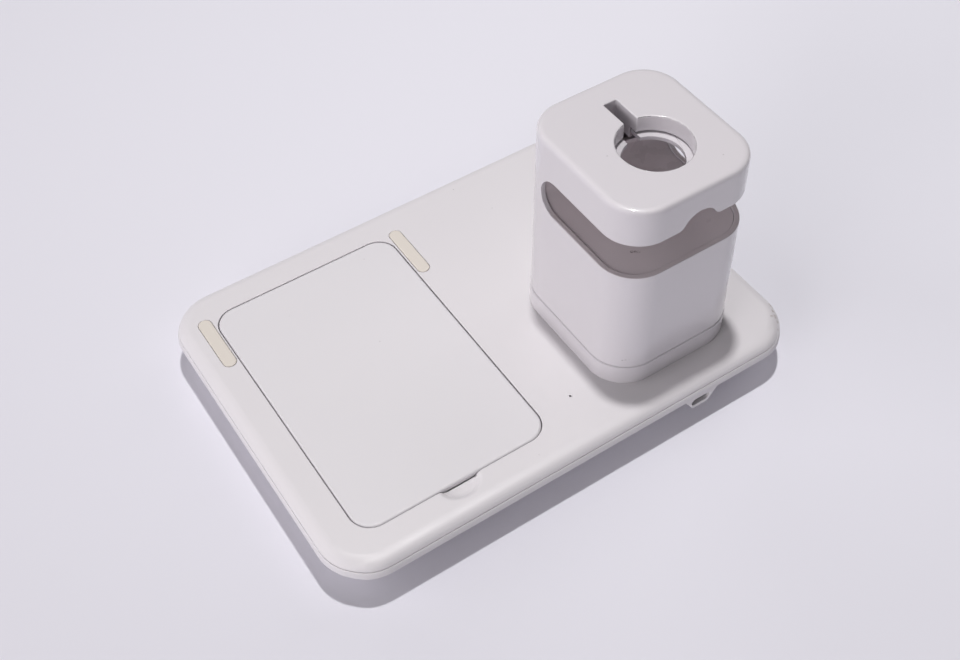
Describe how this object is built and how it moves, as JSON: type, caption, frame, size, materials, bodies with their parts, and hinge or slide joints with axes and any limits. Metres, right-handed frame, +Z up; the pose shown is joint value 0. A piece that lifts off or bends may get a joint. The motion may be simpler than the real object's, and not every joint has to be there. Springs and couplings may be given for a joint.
{
  "type": "charging station",
  "caption": "Flat desk charging tray with a fold-up phone flap and a hollow tower whose cap holds a watch charging puck above a band slot.",
  "frame": {"origin": "on the table under the middle of the tray", "axes": "+Z up, +X along the tray toward the tower, -Y toward the user, who faces the socket and the finger notch"},
  "size_m": [0.216, 0.156, 0.1161],
  "materials": {
    "tray_plastic": "fine satin moulding",
    "flap_plastic": "fine satin moulding",
    "tower_plastic": "glossy",
    "liner_plastic": "glossy",
    "pad_rubber": "matt",
    "foot_rubber": "matt",
    "steel": "plated",
    "board": "solder mask",
    "contact_metal": "plated",
    "coil_copper": "lacquered wire",
    "black_plastic": "matt",
    "capacitor_ceramic": "matt",
    "clear_plastic": "clear",
    "ferrite": "matt",
    "bush_plastic": "matt"
  },
  "bodies": {
    "tray": {"tray_top_shell": "tray_plastic", "tray_bottom_shell": "tray_plastic", "tray_screws": "steel", "rubber_feet": "foot_rubber", "left_grip_pad": "pad_rubber", "right_grip_pad": "pad_rubber", "main_board": "board", "board_screws": "steel", "usb_socket": "steel", "usb_tongue": "black_plastic", "usb_contacts": "contact_metal", "controller_chip": "black_plastic", "power_inductors": "black_plastic", "resonant_capacitors": "capacitor_ceramic", "status_led": "capacitor_ceramic", "light_guide": "clear_plastic", "board_lead": "black_plastic", "hinge_pins": "steel", "tower_foot": "tower_plastic", "tower_shell": "tower_plastic", "tower_screws": "steel", "slot_liner": "liner_plastic", "puck_ledge": "tower_plastic", "ledge_screws": "steel"},
    "flap": {"flap_cover": "flap_plastic", "flap_back": "flap_plastic", "flap_screws": "steel", "charging_coil": "coil_copper", "ferrite_sheet": "ferrite", "coil_lead": "black_plastic", "hinge_bushes": "bush_plastic"}
  },
  "joints": [
    {"name": "flap_hinge", "type": "hinge", "parent": "tray", "child": "flap", "pos_m": [-0.0497, 0.0514, 0.0192], "axis": [-1, 0, 0], "range_deg": [0, 110]}
  ]
}
